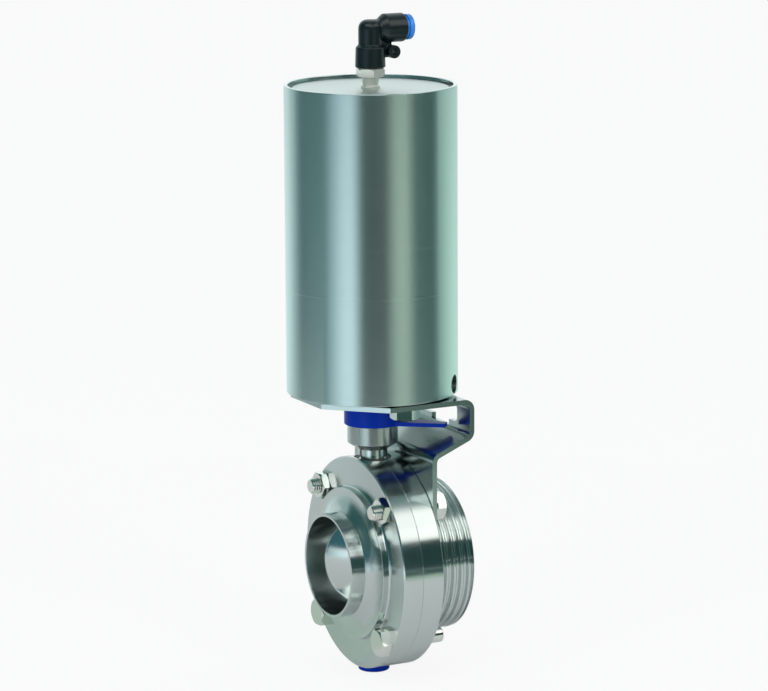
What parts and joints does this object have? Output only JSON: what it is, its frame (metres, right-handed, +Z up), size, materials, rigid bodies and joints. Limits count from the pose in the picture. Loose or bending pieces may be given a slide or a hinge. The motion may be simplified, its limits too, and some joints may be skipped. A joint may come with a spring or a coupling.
{
  "type": "sanitary butterfly valve",
  "caption": "Stainless butterfly valve with a weld end and a round-thread end, on a bent sheet bracket under a cylindrical spring-return air actuator with a push-in elbow.",
  "frame": {"origin": "where the pipe axis crosses the stem axis, at the centre of the valve disc", "axes": "+Z up the stem to the actuator, -Y out of the weld end, +Y out of the threaded end, +X across the flanges"},
  "size_m": [0.1086, 0.0864, 0.3358],
  "materials": {
    "blasted_steel": "bead-blasted stainless steel",
    "polished_steel": "polished stainless steel",
    "sheet_steel": "satin stainless sheet",
    "bolt_steel": "bright stainless fasteners",
    "turned_steel": "turned stainless steel",
    "brushed_casing": "fine brushed stainless tube",
    "lid_steel": "finely turned stainless steel",
    "dark_steel": "dark oiled steel",
    "spring_steel": "drawn spring wire",
    "piston_alloy": "turned aluminium",
    "plated_brass": "nickel-plated brass",
    "seal_rubber": "black rubber",
    "bearing_plastic": "natural bearing plastic",
    "blue_plastic": "satin blue plastic",
    "black_plastic": "black nylon",
    "pale_blue_plastic": "pale blue acetal"
  },
  "bodies": {
    "housing": {"body_front": "blasted_steel", "body_rear": "polished_steel", "seat_ring": "seal_rubber", "upper_stem_bush": "bearing_plastic", "stem_seal": "seal_rubber", "lower_stem_bush": "blue_plastic", "bracket": "sheet_steel", "bracket_bolts": "bolt_steel", "bracket_washers": "bolt_steel", "bracket_nuts": "bolt_steel", "body_screws": "bolt_steel", "mounting_screws": "bolt_steel", "casing": "brushed_casing", "actuator_base": "turned_steel", "base_o_ring": "seal_rubber", "shaft_bush": "bearing_plastic", "shaft_o_ring": "seal_rubber", "thrust_washer": "bearing_plastic", "guide_sleeve": "turned_steel", "sleeve_screws": "dark_steel", "return_spring": "spring_steel", "lid": "lid_steel", "lid_o_ring": "seal_rubber", "snap_ring": "dark_steel", "fitting_stud": "plated_brass", "swivel_o_ring": "seal_rubber"},
    "stem": {"disc": "polished_steel", "stem_coupling": "turned_steel", "coupling_grub_screw": "dark_steel", "position_indicator": "blue_plastic", "cam_shaft": "turned_steel", "shaft_circlip": "dark_steel"},
    "piston": {"piston": "piston_alloy", "piston_seal": "seal_rubber", "piston_guide_band": "bearing_plastic", "roller_pins": "dark_steel", "cam_rollers": "bolt_steel", "guide_rollers": "bolt_steel"},
    "elbow": {"fitting_elbow": "black_plastic", "tube_seal": "seal_rubber", "grip_ring": "spring_steel"},
    "collet": {"release_collet": "pale_blue_plastic"}
  },
  "joints": [
    {"name": "stem_turn", "type": "hinge", "parent": "housing", "child": "stem", "pos_m": [0, 0, 0], "axis": [0, 0, 1], "range_deg": [-60, 30]},
    {"name": "piston_slide", "type": "slide", "parent": "housing", "child": "piston", "axis": [0, 0, 1], "range_m": [-0.015, 0.03], "deforming": ["return_spring"]},
    {"name": "elbow_swivel", "type": "hinge", "parent": "housing", "child": "elbow", "pos_m": [0, 0, 0.252], "axis": [0, 0, 1], "continuous": true},
    {"name": "collet_press", "type": "slide", "parent": "elbow", "child": "collet", "axis": [0, -1, 0], "range_m": [0, 0.0012], "stiffness_N_per_m": 800}
  ],
  "couplings": [
    {"joint": "piston_slide", "follows": "stem_turn", "m_per_rad": -0.028647}
  ]
}
